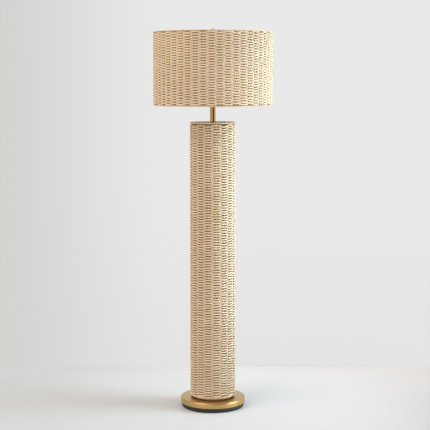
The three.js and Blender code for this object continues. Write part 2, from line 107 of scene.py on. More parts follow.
class Value:
    # One number or colour in a material, which can be used in sums
    def __init__(self, look, socket):
        self.look = look
        self.socket = socket

    def math(self, operation, *numbers):
        return self.look.node("Math", {"operation": operation}, dict(enumerate(numbers)))

    def __add__(self, other):
        return self.math("ADD", self, other)

    def __sub__(self, other):
        return self.math("SUBTRACT", self, other)

    def __mul__(self, other):
        return self.math("MULTIPLY", self, other)

    def __truediv__(self, other):
        return self.math("DIVIDE", self, other)

    def __pow__(self, other):
        return self.math("POWER", self, other)

    def __radd__(self, other):
        return self.math("ADD", other, self)

    def __rsub__(self, other):
        return self.math("SUBTRACT", other, self)

    def __rmul__(self, other):
        return self.math("MULTIPLY", other, self)

    def __rtruediv__(self, other):
        return self.math("DIVIDE", other, self)

    def floor(self):
        return self.math("FLOOR", self)

    def sine(self):
        return self.math("SINE", self)

    def cosine(self):
        return self.math("COSINE", self)

    def ramp(self, start, end):  # 0 up to start, 1 from end
        limits = {"Value": self, "From Min": start, "From Max": end}
        return self.look.node("MapRange", {"interpolation_type": "SMOOTHSTEP"}, limits)


class Graph:
    # The nodes of a material or of the world, and the calls that build them
    def __init__(self, owner):
        owner.use_nodes = True
        self.tree = owner.node_tree
        self.tree.nodes.clear()

    def fill(self, made, inputs):
        for key, value in inputs.items():
            if isinstance(value, Value):
                self.tree.links.new(value.socket, made.inputs[key])
            else:
                made.inputs[key].default_value = value

    def node(self, kind, settings=None, inputs=None, output=0):
        made = self.tree.nodes.new("ShaderNode" + kind)
        for key, value in (settings or {}).items():
            setattr(made, key, value)
        self.fill(made, inputs or {})
        return Value(self, made.outputs[output]) if made.outputs else None

    def mix(self, factor, first, second):
        return self.node("Mix", {"data_type": "RGBA"}, {0: factor, 6: first, 7: second}, output=2)

    def split(self, vector):
        made = self.node("SeparateXYZ", None, {"Vector": vector}).socket.node
        return [Value(self, socket) for socket in made.outputs]

    def join(self, across, along, up):
        return self.node("CombineXYZ", None, {"X": across, "Y": along, "Z": up})


class Look(Graph):
    # A material with one Principled shader
    def __init__(self, name, **fixed):
        self.material = bpy.data.materials.new(name)
        super().__init__(self.material)
        output = self.tree.nodes.new("ShaderNodeOutputMaterial")
        self.shader = self.tree.nodes.new("ShaderNodeBsdfPrincipled")
        self.tree.links.new(self.shader.outputs[0], output.inputs[0])
        self.fill(self.shader, fixed)

    def place(self, stretch=(1, 1, 1)):
        spot = self.node("TexCoord", output="Object")
        return self.node("Mapping", None, {"Vector": spot, "Scale": stretch})

    def noise(self, scale, detail=3, roughness=0.5, vector=None):
        inputs = {"Scale": scale, "Detail": detail, "Roughness": roughness}
        return self.node("TexNoise", None, {"Vector": vector or self.place(), **inputs})

    def bump(self, height, strength, distance=0.3 * mm):
        inputs = {"Height": height, "Strength": strength, "Distance": distance}
        return self.node("Bump", None, inputs)

    def finish(self, **inputs):
        sockets = {"colour": "Base Color", "roughness": "Roughness", "normal": "Normal"}
        self.fill(self.shader, {sockets[key]: value for key, value in inputs.items()})
        return self.material


def colour(red, green, blue):
    return (red, green, blue, 1)


# Rattan. The reed's own UV map runs round it and along it, so that the fibres follow each strand.

rattan = {
    "crownHighlight": colour(0.90, 0.77, 0.61),  # painted highlight on the crowns
    "pale": colour(0.71, 0.55, 0.39),
    "straw": colour(0.60, 0.44, 0.27),
    "rose": colour(0.64, 0.43, 0.29),
    "olive": colour(0.57, 0.44, 0.24),
    "honey": colour(0.48, 0.32, 0.18),
    "fibre": colour(0.30, 0.16, 0.06),
    # colour of the shade painted into the pits
    "pit": colour(0.17, 0.08, 0.02),
    "sheen": colour(1, 0.80, 0.52),
    "fuzz": 0.4,  # weight and roughness of the sheen
    "gloss": 0.35,
    "pitDepths": (2.3 * mm, 5.2 * mm),  # under the crowns, where the painted shade starts and is full
    "crownHighlightDepth": 1.6 * mm,
    "fibreLines": 2.2,
    "fibreLength": 0.07,
    "reedLength": 0.9,  # before the weaver takes up the next reed
    "reedSeeds": (40, 9),  # shift the fibres and the joints from reed to reed
    "jointSpacing": 0.24,
    "jointSines": (0.9985, 1.0),
    "patchScale": 13,
    "cloudScale": 3.1,
    "hueScale": 21,
    "speckScale": 300,
    "grainScale": 480,
    "strawTones": (0.45, 1.0),
    "honeyTones": (0.9, 1.25),
    "hueTones": (0.52, 0.66),
    "fibreTones": (0.5, 0.72),
    "speckTones": (0.62, 0.74),
    "honeyShare": 0.8,
    "roseShare": 0.55,
    "oliveShare": 0.5,
    "crownHighlightShare": 0.5,
    "fibreShare": 0.34,
    "jointShare": 0.4,
    "speckShare": 0.3,
    "roughness": 0.46,
    "fibreRoughness": 0.3,
    "bump": 0.45,
}


def makeRattan(name, strandLength, face, pitShade):
    # face is the wall's radius over its crowns, and the last argument is how dark the shade painted into
    # its pits is
    fixed = {
        "Specular IOR Level": rattan["gloss"],
        "Sheen Weight": rattan["fuzz"],
        "Sheen Roughness": rattan["fuzz"],
        "Sheen Tint": rattan["sheen"],
    }
    look = Look(name, **fixed)
    around, along, _ = look.split(look.node("UVMap", {"uv_map": "UVMap"}))
    along = along * strandLength
    angle = around * wholeTurn

    count = (along / rattan["reedLength"]).floor()
    reed = look.node("TexWhiteNoise", {"noise_dimensions": "1D"}, {"W": count})
    fibreSeed, jointSeed = rattan["reedSeeds"]
    patch = look.noise(rattan["patchScale"], detail=4, roughness=0.6)
    cloud = look.noise(rattan["cloudScale"], detail=2)
    lines = look.join(
        angle.cosine() * rattan["fibreLines"],
        angle.sine() * rattan["fibreLines"],
        along / rattan["fibreLength"] + reed * fibreSeed,
    )
    fibre = look.noise(1.0, detail=5, roughness=0.7, vector=lines)
    knots = along * (math.pi / rattan["jointSpacing"]) + reed * jointSeed
    joint = knots.sine().ramp(*rattan["jointSines"])

    across, depth, _ = look.split(look.place())
    under = face - (across * across + depth * depth) ** 0.5
    # Painted shade: the deeper a point lies under the crowns, the darker it is made
    pit = under.ramp(*rattan["pitDepths"])
    # Painted highlight: lighter towards the top of each crown
    crownHighlight = 1 - under.ramp(0, rattan["crownHighlightDepth"])

    tone = reed * 0.7 + patch * 0.4 + cloud * 0.5
    body = look.mix(tone.ramp(*rattan["strawTones"]), rattan["pale"], rattan["straw"])
    body = look.mix(tone.ramp(*rattan["honeyTones"]) * rattan["honeyShare"], body, rattan["honey"])
    hue = look.noise(rattan["hueScale"])
    body = look.mix(hue.ramp(*rattan["hueTones"]) * rattan["roseShare"], body, rattan["rose"])
    body = look.mix((1 - hue).ramp(*rattan["hueTones"]) * rattan["oliveShare"], body, rattan["olive"])
    body = look.mix(crownHighlight * rattan["crownHighlightShare"], body, rattan["crownHighlight"])
    grain = fibre.ramp(*rattan["fibreTones"]) * rattan["fibreShare"] + joint * rattan["jointShare"]
    body = look.mix(grain, body, rattan["fibre"])
    speck = look.noise(rattan["speckScale"], detail=2).ramp(*rattan["speckTones"])
    body = look.mix(speck * rattan["speckShare"], body, rattan["fibre"])
    body = look.mix(pit * pitShade, body, rattan["pit"])
    height = fibre + look.noise(rattan["grainScale"]) * 0.4 + joint
    roughness = rattan["roughness"] + fibre * rattan["fibreRoughness"]
    return look.finish(colour=body, roughness=roughness, normal=look.bump(height, rattan["bump"]))


# Metals

brass = {
    "bright": colour(0.67, 0.46, 0.20),
    "deep": colour(0.51, 0.32, 0.11),
    "stain": colour(0.34, 0.20, 0.07),
    "cloudScale": 9,
    "stainScale": 34,
    "stainTones": (0.6, 0.8),
    "stainShare": 0.35,
    "bump": 0.1,
    "bumpDepth": 0.2 * mm,
    "drawn": 0.02,  # how much slower the marks of a drawn tube change along it
    "spiral": 0.01,  # how much the marks of a lathe drift round the axis
}


def makeBrass(name, lines, markScale, roughness, dull=1.0):
    # lines(look) is the vector along which the brush marks run out, and dull is how much they roughen it
    look = Look(name, Metallic=1.0)
    marks = look.noise(markScale, detail=4, roughness=0.75, vector=lines(look))
    cloud = look.noise(brass["cloudScale"], detail=4)
    stain = look.noise(brass["stainScale"], detail=4, roughness=0.65).ramp(*brass["stainTones"])
    tint = look.mix(cloud * 0.7 + marks * 0.3, brass["bright"], brass["deep"])
    tint = look.mix(stain * brass["stainShare"], tint, brass["stain"])
    return look.finish(
        colour=tint,
        roughness=roughness + (marks * 0.16 + cloud * 0.06 + stain * 0.1) * dull,
        normal=look.bump(marks, brass["bump"], brass["bumpDepth"]),
    )


def roundAxis(look):
    across, along, up = look.split(look.place())
    return look.join((across * across + along * along) ** 0.5, up, across * brass["spiral"])


def upAxis(look):
    return look.place((1, 1, brass["drawn"]))


grainedCloudScale = 24


def makeGrained(name, pale, dark, scale, roughness, bump, **fixed):
    # Two tones mixed by a fine grain and by broad clouds, for paint, felt, board and plastic
    look = Look(name, **fixed)
    grain = look.noise(scale, detail=5, roughness=0.6)
    cloud = look.noise(grainedCloudScale)
    return look.finish(
        colour=look.mix(grain * 0.6 + cloud * 0.4, colour(*pale), colour(*dark)),
        roughness=roughness + grain * 0.14 + cloud * 0.06,
        normal=look.bump(grain, bump),
    )


cloth = {
    "pale": colour(0.84, 0.80, 0.71),
    "dark": colour(0.70, 0.65, 0.55),
    "gloss": 0.25,
    "warps": 900,  # radians of the wave in one radian round the shade
    "wefts": 4200,  # and in one metre up it
    "slubScale": 90,
    "slubStretch": (1, 1, 14),
    "threadShare": 0.2,
    "slubShare": 0.5,
    "roughness": 0.78,
    "bump": 0.15,
    "bumpDepth": 0.1 * mm,
}


def makeLining():
    # Crossed threads round the shade and up it, under a matt laminate
    look = Look("liningLaminate", **{"Specular IOR Level": cloth["gloss"]})
    across, along, up = look.split(look.place())
    angle = across.math("ARCTAN2", across, along)
    warp = (angle * cloth["warps"]).sine() * 0.5 + 0.5
    weft = (up * cloth["wefts"]).sine() * 0.5 + 0.5
    slub = look.noise(cloth["slubScale"], vector=look.place(cloth["slubStretch"]))
    threads = warp * cloth["threadShare"] + weft * cloth["threadShare"]
    return look.finish(
        colour=look.mix(threads + slub * cloth["slubShare"], cloth["pale"], cloth["dark"]),
        roughness=cloth["roughness"] + slub * 0.12,
        normal=look.bump(warp + weft, cloth["bump"], cloth["bumpDepth"]),
    )


frosted = {
    "pale": colour(0.80, 0.79, 0.77),
    "dark": colour(0.74, 0.73, 0.71),
    "coat": 0.35,
    "coatRoughness": 0.12,
    "cloudScale": 40,
    "grainScale": 1400,
    "roughness": 0.3,
    "bump": 0.05,
    "bumpDepth": 0.1 * mm,
}


def makeFrostedGlass():
    coat = {"Coat Weight": frosted["coat"], "Coat Roughness": frosted["coatRoughness"]}
    look = Look("frostedGlass", **coat)
    cloud = look.noise(frosted["cloudScale"])
    grain = look.noise(frosted["grainScale"], detail=2)
    return look.finish(
        colour=look.mix(cloud, frosted["pale"], frosted["dark"]),
        roughness=frosted["roughness"] + grain * 0.15,
        normal=look.bump(grain, frosted["bump"], frosted["bumpDepth"]),
    )


# Brass: marks, their scale, roughness. Grained: the two tones, the grain's scale, roughness and bump.

looks = {
    "spunBrass": makeBrass("spunBrass", roundAxis, 1500, 0.2),
    "drawnBrass": makeBrass("drawnBrass", upAxis, 1100, 0.03, dull=0.3),
    "wireBrass": makeBrass("wireBrass", Look.place, 700, 0.2),
    "steel": makeGrained("zincedSteel", (0.62, 0.62, 0.6), (0.42, 0.42, 0.41), 700, 0.3, 0.1, Metallic=1),
    "paint": makeGrained("blackPaint", (0.024, 0.02, 0.016), (0.01, 0.009, 0.008), 420, 0.5, 0.3),
    "felt": makeGrained("blackFelt", (0.035, 0.034, 0.033), (0.012, 0.012, 0.012), 1500, 0.85, 0.9),
    "board": makeGrained("fibreboard", (0.50, 0.37, 0.23), (0.33, 0.23, 0.13), 420, 0.72, 0.4),
    "paper": makeGrained("fibrePaper", (0.42, 0.32, 0.20), (0.30, 0.22, 0.13), 500, 0.7, 0.3),
    "gloss": makeGrained("glossPlastic", (0.022, 0.022, 0.022), (0.011, 0.011, 0.011), 300, 0.14, 0.05),
    "brown": makeGrained("brownPlastic", (0.075, 0.044, 0.03), (0.04, 0.024, 0.018), 260, 0.32, 0.1),
    "lining": makeLining(),
    "glass": makeFrostedGlass(),
}


# Mesh helpers

doubles = 0.002 * mm  # points closer than this are one
bevelSteps = 4


def placePiece(name, mesh, node, body, look, sharp):
    mesh.name = name
    mesh.materials.clear()
    mesh.materials.append(look)
    mesh.shade_smooth()
    mesh.set_sharp_from_angle(angle=math.radians(sharp))
    piece = linked(name, mesh)
    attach(piece, body)
    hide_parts(node)


def cleaned(bm, name="scratch"):
    bmesh.ops.remove_doubles(bm, verts=bm.verts, dist=doubles)
    bmesh.ops.recalc_face_normals(bm, faces=bm.faces)
    mesh = bpy.data.meshes.new(name)
    bm.to_mesh(mesh)
    bm.free()
    return mesh


def finishPiece(name, bm, node, look="spunBrass", body="lamp_body", sharp=40):
    placePiece(name, cleaned(bm, name), node, body, looks[look], sharp)


def outline(bm, corners, closed):
    # Edges in the XZ plane through (across, height) or (across, height, rounding) corners
    verts = [bm.verts.new((corner[0], 0, corner[1])) for corner in corners]
    for first, second in zip(verts, verts[1:]):
        bm.edges.new((first, second))
    if closed:
        bm.edges.new((verts[-1], verts[0]))
    for vert, corner in zip(verts, corners):
        if len(corner) > 2:
            bmesh.ops.bevel(
                bm, geom=[vert], offset=corner[2], offset_type="OFFSET", segments=bevelSteps,
                profile=0.5, affect="VERTICES", clamp_overlap=True, material=-1,
            )


def spun(corners, steps=72):
    # A solid of revolution about Z. An outline with both ends on the axis stays open.
    bm = bmesh.new()
    outline(bm, corners, closed=corners[0][0] > 0)
    bmesh.ops.spin(
        bm, geom=bm.verts[:] + bm.edges[:], cent=(0, 0, 0), axis=(0, 0, 1), angle=wholeTurn,
        steps=steps, use_merge=True, use_duplicate=False,
    )
    return bm


def turned(bm, matrix):
    bmesh.ops.transform(bm, matrix=matrix, verts=bm.verts)
    return bm


def tube(inner, outer, bottom, top, rounding):
    corners = [(inner, bottom), (outer, bottom), (outer, top), (inner, top)]
    return [(radius, height, rounding) for radius, height in corners]


def arc(radius, height, size, start, end, count):  # start and end in quarter turns
    angles = [(start + (end - start) * index / count) * math.pi / 2 for index in range(count + 1)]
    return [(radius + size * math.cos(angle), height + size * math.sin(angle)) for angle in angles]


def ripple(bm, bottom, top, depth):
    # Draws the surface in towards the axis by depth(angle, height)
    for vert in bm.verts:
        across, along, up = vert.co
        radius = math.hypot(across, along)
        if bottom < up < top and radius > touch:
            share = 1 - depth(math.atan2(along, across), up) / radius
            vert.co = (across * share, along * share, up)


def cut(bm, tool):
    holders = [linked("scratch", cleaned(each)) for each in (bm, tool)]
    change = holders[0].modifiers.new("cut", "BOOLEAN")
    change.operation = "DIFFERENCE"
    change.solver = "EXACT"
    change.object = holders[1]
    left = bmesh.new()
    left.from_object(holders[0], bpy.context.evaluated_depsgraph_get())
    for holder in holders:
        mesh = holder.data
        bpy.data.objects.remove(holder)
        bpy.data.meshes.remove(mesh)
    return left


def wires(paths, radius, resolution=2, swell=None, smooth=False, closed=False):
    # Round wire or reed along each path. swell holds each point's share of the radius.
    curve = bpy.data.curves.new("scratch", "CURVE")
    curve.dimensions = "3D"
    curve.twist_mode = "Z_UP"
    curve.bevel_depth = radius
    curve.bevel_resolution = resolution
    curve.use_fill_caps = not closed
    curve.resolution_u = 10
    for path in paths:
        if smooth:
            spline = curve.splines.new("BEZIER")
            spline.bezier_points.add(len(path) - 1)
            for point, place in zip(spline.bezier_points, path):
                point.co = place
                point.handle_left_type = point.handle_right_type = "AUTO"
        else:
            spline = curve.splines.new("POLY")
            spline.points.add(len(path) - 1)
            spline.points.foreach_set("co", [number for place in path for number in (*place, 1)])
            if swell:
                spline.points.foreach_set("radius", swell)
        spline.use_cyclic_u = closed
    holder = bpy.data.objects.new("scratch", curve)
    mesh = bpy.data.meshes.new_from_object(holder)
    bpy.data.objects.remove(holder)
    bpy.data.curves.remove(curve)
    return mesh


def finishWire(name, path, radius, node, body):
    mesh = wires([path], radius, resolution=4, smooth=True)
    bm = bmesh.new()
    bm.from_mesh(mesh)
    bpy.data.meshes.remove(mesh)
    finishPiece(name, bm, node, "wireBrass", body=body)


# Woven walls. One weaver climbs round an odd number of stakes, over one and behind the next, so each
# crown has a pit above it, below it and on both sides. A twined pair of reeds closes each end.

columnWeave = {
    "node": "column_weave",
    "body": "lamp_body",
    "stakes": 17,
    "turnOfFirstStake": math.radians(9),
    "pitch": 4.86 * mm,
    "reed": 2.35 * mm,  # radius of the weaver
    "crown": 1.42,  # the reed's radius over a stake, where it is pressed flat, to its radius elsewhere
    "dive": 2.6,  # how suddenly the weaver goes behind a stake
    "stake": 2.0 * mm,
    "wave": 1.5 * mm,
    "jitter": 0.85 * mm,
    "uneven": 0.14,  # change of the reed's thickness
    "pitShade": 0.6,  # how dark the shade painted into the pits is; the next two are for the borders and the stakes
    "borderPitShade": 0.25,
    "stakePitShade": 0.4,
    "parts": 3,
    "foot": 12 * mm,  # where the weaver starts, over the wall's foot
    "head": 11.6 * mm,  # where it ends, under the wall's head
    "rings": [
        {"level": 2.9 * mm, "tuck": 1.6 * mm, "reed": 2.3 * mm, "up": 0.5 * mm, "out": 1.4 * mm},
        {"level": 7.1 * mm, "tuck": 0.2 * mm, "reed": 2.3 * mm, "up": 0.5 * mm, "out": 1.4 * mm},
        {"level": -3.0 * mm, "tuck": 0.6 * mm, "reed": 2.5 * mm, "up": 0.4 * mm, "out": 1.4 * mm},
    ],
}

shadeWeave = {
    "node": "shade_weave",
    "body": "shade",
    "stakes": 47,
    "turnOfFirstStake": math.radians(-1.1),
    "pitch": 4.74 * mm,
    "reed": 2.3 * mm,
    "crown": 1.42,
    "dive": 3.0,
    "stake": 2.0 * mm,
    "wave": 1.3 * mm,
    "jitter": 0.8 * mm,
    "uneven": 0.14,
    "pitShade": 0.12,
    "borderPitShade": 0.2,
    "stakePitShade": 0.0,
    "parts": 2,
    "foot": 8.4 * mm,
    "head": 7.4 * mm,
    "rings": [
        {"level": 1.9 * mm, "tuck": 1.2 * mm, "reed": 1.6 * mm, "up": 0.25 * mm, "out": 1.6 * mm},
        {"level": -1.9 * mm, "tuck": 1.2 * mm, "reed": 1.6 * mm, "up": 0.25 * mm, "out": 1.6 * mm},
    ],
}

# The same in both walls
weave = {
    "weaverSteps": 8,  # from stake to stake
    "twineSteps": 10,
    "detour": 1.03,  # length of the weaver's turn to the circle's
    "late": 0.4,  # of half a turn, before the weaver starts to come out from behind a border
    "stakeLean": 1.2 * mm,
    "stakeEnds": 3 * mm,  # distance from the wall's ends
    "slack": 0.25 * mm,  # of the twined reeds
}

# How fast each unevenness changes, or a seed where the place given is 1
wander = {
    "drift": (2.2, 2.2, 14),
    "shake": (0.61, 900, 3.7),
    "sink": (0.37, 9.1, 700),
    "swell": (0.3, 5.2, 500),
    "slack": (0.7, 900, 1.3),
}


def stray(kind, *place):  # even change from -1 to 1
    return noise.noise(Vector([pace * part for pace, part in zip(wander[kind], place)]))


def onWall(angle, radius, height):
    # Angle is counted from the front, towards the right
    return Vector((radius * math.sin(angle), -radius * math.cos(angle), height))


def smoothStep(share):
    share = min(1.0, max(0.0, share))
    return share * share * (3 - 2 * share)


def weaverPath(wall, crest, foot, turns, first, last):
    # The turns before the first full one and after the last sink in behind the borders
    path = []
    swell = []
    stakes = wall["stakes"]
    steps = weave["weaverSteps"]
    swing = wall["reed"] + wall["stake"]
    for index in range(round(first * stakes * steps), round(last * stakes * steps) + 1):
        stake = index / steps
        turn = stake / stakes
        angle = wall["turnOfFirstStake"] + wholeTurn * turn
        rise = wall["pitch"] * turn
        behind = (0.5 - 0.5 * math.cos(math.pi * stake)) ** wall["dive"]
        flat = 1 + (wall["crown"] - 1) * smoothStep(1 - 2 * behind)
        shown = smoothStep(2 * min(turn + 1, turns + 1 - turn) - weave["late"])
        drift = wall["wave"] * stray("drift", math.sin(angle), math.cos(angle), rise)
        shake = wall["jitter"] * stray("shake", stake, rise, 1)
        sink = wall["jitter"] * (1 + stray("sink", stake, 1, rise)) / 2
        thin = abs(stray("swell", stake, 1, rise))
        depth = 2 * swing * (behind * shown + 1 - shown) + sink + wall["reed"] * (flat - 1)
        path.append(onWall(angle, crest - depth, foot + rise + shown * (drift + shake)))
        swell.append(flat * (1 - wall["uneven"] * thin))
    return path, swell


def twinedPath(wall, radius, level, up, out):
    # One reed that goes round twice and twists round itself once between stakes
    stakes = wall["stakes"]
    steps = weave["twineSteps"]
    path = []
    for index in range(2 * stakes * steps):
        stake = index / steps
        angle = wall["turnOfFirstStake"] + wholeTurn * stake / stakes
        twist = math.pi * stake
        height = level + up * math.sin(twist) + weave["slack"] * stray("slack", stake, level, 1)
        path.append(onWall(angle, radius + out * math.cos(twist), height))
    return path


def weaveWall(name, wall):
    node = wall["node"]
    body = wall["body"]
    face, bottom, top = sizes(node)
    face -= touch
    reed = wall["reed"]
    foot = bottom + wall["foot"]
    head = top - wall["head"]
    turns = round((head - foot) / wall["pitch"])
    wall = {**wall, "pitch": (head - foot) / turns}
    crest = face - reed
    turnLength = wholeTurn * crest * weave["detour"]
    parts = wall["parts"]
    cuts = [-1 + (turns + 2) * part / parts for part in range(parts + 1)]
    for part, (first, last) in enumerate(zip(cuts, cuts[1:])):
        path, swell = weaverPath(wall, crest, foot, turns, first, last)
        piece = f"{name}Weaver{part + 1}"
        look = makeRattan(piece, turnLength * (last - first), face, wall["pitShade"])
        placePiece(piece, wires([path], reed, swell=swell), node, body, look, sharp=180)

    stakeRadius = crest - reed - wall["stake"]
    inset = weave["stakeEnds"]
    stakes = []
    for stake in range(wall["stakes"]):
        angle = wall["turnOfFirstStake"] + wholeTurn * stake / wall["stakes"]
        lean = chance.uniform(-1, 1) * weave["stakeLean"] / stakeRadius
        bends = [(0, bottom + inset), (1, (bottom + top) / 2), (0, top - inset)]
        stakes.append([onWall(angle + lean * bend, stakeRadius, level) for bend, level in bends])
    piece = f"{name}Stakes"
    # The stakes lie deep in the wall, so they take the pits' painted shade
    look = makeRattan(piece, head - foot, face, wall["stakePitShade"])
    placePiece(piece, wires(stakes, wall["stake"]), node, body, look, sharp=60)

    for count, ring in enumerate(wall["rings"]):
        level = (bottom if ring["level"] > 0 else top) + ring["level"]
        radius = face - ring["tuck"] - ring["reed"] - ring["out"]
        path = twinedPath(wall, radius, level, ring["up"], ring["out"])
        piece = f"{name}Border{count + 1}"
        look = makeRattan(piece, 2 * turnLength, face, wall["borderPitShade"])
        mesh = wires([path], ring["reed"], resolution=3, closed=True)
        placePiece(piece, mesh, node, body, look, sharp=180)


# Base: spun brass cover over a cast weight, on a felt pad

base = {
    "fillet": 3.2 * mm,
    "wall": 1.5 * mm,
    "hem": 1.4 * mm,
    "pipeHole": 5.6 * mm,
    "plinthInset": 4 * mm,
    "chamfer": 2.5 * mm,
    "castEdge": 1.2 * mm,
    "wellRadius": 70 * mm,
    "wellDepth": 18 * mm,
    "tunnel": 4.9 * mm,
    "padEdge": 0.5 * mm,
    "steps": 180,
    "tunnelSteps": 24,
}

grommet = {"flange": 2 * mm, "body": 4.6 * mm, "bore": 3.5 * mm, "rounding": 0.7 * mm, "steps": 40}


def makeBase():
    wall = base["wall"]
    hole = base["pipeHole"]
    radius, foot, top = sizes("base_cover")
    cover = [
        (radius - wall, foot),
        (radius, foot, base["hem"]),
        (radius, top, base["fillet"]),
        (hole, top),
        (hole, top - wall),
        (radius - wall, top - wall, base["fillet"] - wall),
    ]
    finishPiece("baseCover", spun(cover, base["steps"]), "base_cover")

    inner, bottom, weightTop = sizes("base_weight")
    inner -= touch
    outer = radius - base["plinthInset"]
    wellTop = bottom + base["wellDepth"]
    weight = [
        (hole, wellTop),
        (base["wellRadius"], wellTop, base["castEdge"]),
        (base["wellRadius"], bottom, base["castEdge"]),
        (outer, bottom, base["chamfer"]),
        (outer, foot),
        (inner, foot),
        (inner, weightTop, base["fillet"]),
        (hole, weightTop),
    ]
    outlet = middle("cord_grommet").z
    backwards = Matrix.Translation((0, 0, outlet)) @ Matrix.Rotation(-math.pi / 2, 4, "X")
    start = base["wellRadius"] - wall
    tunnel = [(0, start), (base["tunnel"], start), (base["tunnel"], radius), (0, radius)]
    block = cut(spun(weight, base["steps"]), turned(spun(tunnel, base["tunnelSteps"]), backwards))
    finishPiece("baseWeight", block, "base_weight", "paint")

    front = low("cord_grommet").y
    flange, back, _ = high("cord_grommet")
    bush = [
        (grommet["bore"], front),
        (grommet["body"], front),
        (grommet["body"], back - grommet["flange"]),
        (flange, back - grommet["flange"]),
        (flange, back, grommet["rounding"]),
        (grommet["bore"], back, grommet["rounding"]),
    ]
    bm = turned(spun(bush, grommet["steps"]), backwards)
    finishPiece("cordGrommet", bm, "cord_grommet", "gloss")

    pad, _, thickness = sizes("floor_pad")
    edge = base["padEdge"]
    felt = [(0, 0), (pad, 0, edge), (pad, thickness, edge), (0, thickness)]
    finishPiece("floorPad", spun(felt, base["steps"]), "floor_pad", "felt")


# Column cap and neck

neck = {
    "wall": 1.2 * mm,
    "edge": 0.3 * mm,  # rounding of the tube's ends
    "rounding": 0.5 * mm,
    "slope": 4.5 * mm,  # of the seating ring's bevelled edge
    "spigot": 4 * mm,
    "capFlange": 3 * mm,
    "capPlug": 15 * mm,
    "capInset": 5.3 * mm,  # of the plug from the flange's rim
    "capEdge": 1.2 * mm,
    "plugEdge": 1 * mm,
    "capSteps": 96,
}


def makeNeck():
    hole = base["pipeHole"]
    cap, _, capTop = sizes("column_cap")
    plug = cap - neck["capInset"]
    lid = [
        (hole, capTop - neck["capPlug"]),
        (plug, capTop - neck["capPlug"], neck["plugEdge"]),
        (plug, capTop - neck["capFlange"]),
        (cap, capTop - neck["capFlange"]),
        (cap, capTop, neck["capEdge"]),
        (hole, capTop),
    ]
    finishPiece("columnCap", spun(lid, neck["capSteps"]), "column_cap", "board")

    tubeRadius, foot, top = sizes("neck_tube")
    shell = tube(tubeRadius - neck["wall"], tubeRadius, foot, top, neck["edge"])
    hold = 2 * neck["edge"]  # two more rings near the ends keep the shading of the long wall straight
    shell[2:2] = [(tubeRadius, foot + hold), (tubeRadius, top - hold)]
    finishPiece("neckTube", spun(shell), "neck_tube", "drawnBrass")

    ring, ringFoot, _ = sizes("neck_ring")
    ringTop = foot - touch
    spigot = tubeRadius - neck["wall"] - touch
    soft = neck["rounding"]
    seat = [
        (hole, ringFoot),
        (ring, ringFoot, soft),
        (ring, (ringFoot + ringTop) / 2, soft),
        (ring - neck["slope"], ringTop, soft),
        (spigot, ringTop),
        (spigot, ringTop + neck["spigot"]),
        (hole, ringTop + neck["spigot"]),
    ]
    finishPiece("neckRing", spun(seat), "neck_ring")

    collar, _, collarTop = sizes("neck_top_ring")
    closing = [
        (hole, top - neck["spigot"]),
        (spigot, top - neck["spigot"]),
        (spigot, top + touch),
        (collar, top + touch, soft),
        (collar, (top + collarTop) / 2, soft),
        (tubeRadius, collarTop, soft),
        (hole, collarTop),
    ]
    finishPiece("neckTopRing", spun(closing), "neck_top_ring")


# Harp, its saddle, sleeves and stud

harp = {
    "wire": 1.75 * mm,
    "legAcross": 30.85 * mm,
    "straightShares": [0, 0.06, 0.12, 0.17],  # up the legs
    "bellyShares": [(0.32, 0.8), (0.5, 1), (0.7, 0.98), (0.86, 0.74)],  # (height, half width)
    "crownAcross": 26 * mm,
    "halfWidth": 58 * mm,
    "flange": 2 * mm,
    "block": 6 * mm,
    "post": 3.15 * mm,
    "threadDepth": 0.25 * mm,
    "threadPitch": 0.94 * mm,
    "rowsPerThread": 8,
    "blockEdge": 0.8 * mm,
    "flangeEdge": 0.4 * mm,
    "postEdge": 0.1 * mm,
    "steps": 40,
}

saddle = {
    "thickness": 1.6 * mm,
    "shoulder": 8 * mm,
    "tip": 3 * mm,
    "bend": 2.6 * mm,  # radius outside the bend
    "drillSteps": 32,
}

sleeve = {"wall": 1 * mm, "rounding": 0.3 * mm, "groove": 0.3 * mm, "rim": 1.8 * mm, "steps": 32}


def makeHarp():
    foot = low("harp").z
    level = high("harp").z - harp["wire"]
    rise = level - foot
    points = [Vector((harp["legAcross"], 0, foot + rise * share)) for share in harp["straightShares"]]
    for heightShare, widthShare in harp["bellyShares"]:
        points.append(Vector((harp["halfWidth"] * widthShare, 0, foot + rise * heightShare)))
    points += [Vector((harp["crownAcross"] * share, 0, level)) for share in (1, 0.5)]
    mirrored = [Vector((-point.x, 0, point.z)) for point in points]
    path = mirrored + [Vector((0, 0, level))] + points[::-1]
    finishWire("harpWire", path, harp["wire"], "harp", "lamp_body")

    flange, bottom, top = sizes("harp_stud")
    seat = low("spider_washer").z - touch
    rows = round((top - seat) / harp["threadPitch"] * harp["rowsPerThread"])
    stud = [
        (0, bottom),
        (harp["block"], bottom, harp["blockEdge"]),
        (harp["block"], seat - harp["flange"]),
        (flange, seat - harp["flange"], harp["flangeEdge"]),
        (flange, seat, harp["flangeEdge"]),
        *[(harp["post"], seat + (top - seat) * index / rows) for index in range(rows)],
        (harp["post"], top, harp["postEdge"]),
        (0, top),
    ]
    post = spun(stud, harp["steps"])

    def screw(angle, height):
        wave = 0.5 + 0.5 * math.cos(wholeTurn * height / harp["threadPitch"] - angle)
        return harp["threadDepth"] * wave

    ripple(post, seat + harp["threadPitch"], top - touch, screw)
    finishPiece("harpStud", post, "harp_stud")


def makeSleeve(side):
    node = f"harp_sleeve_{side}"
    outer = high(node).y
    height = high(node).z - low(node).z
    rim = sleeve["rim"]
    groove = sleeve["groove"]
    soft = sleeve["rounding"]
    corners = [
        (outer - sleeve["wall"], 0, soft),
        (outer, 0, soft),
        (outer, rim),
        (outer - groove, rim + groove),
        (outer - groove, height - rim - groove),
        (outer, height - rim),
        (outer, height, soft),
        (outer - sleeve["wall"], height, soft),
    ]
    bm = turned(spun(corners, sleeve["steps"]), Matrix.Translation((middle(node).x, 0, low(node).z)))
    finishPiece(f"{side}Sleeve", bm, node, body=f"{side}_sleeve")


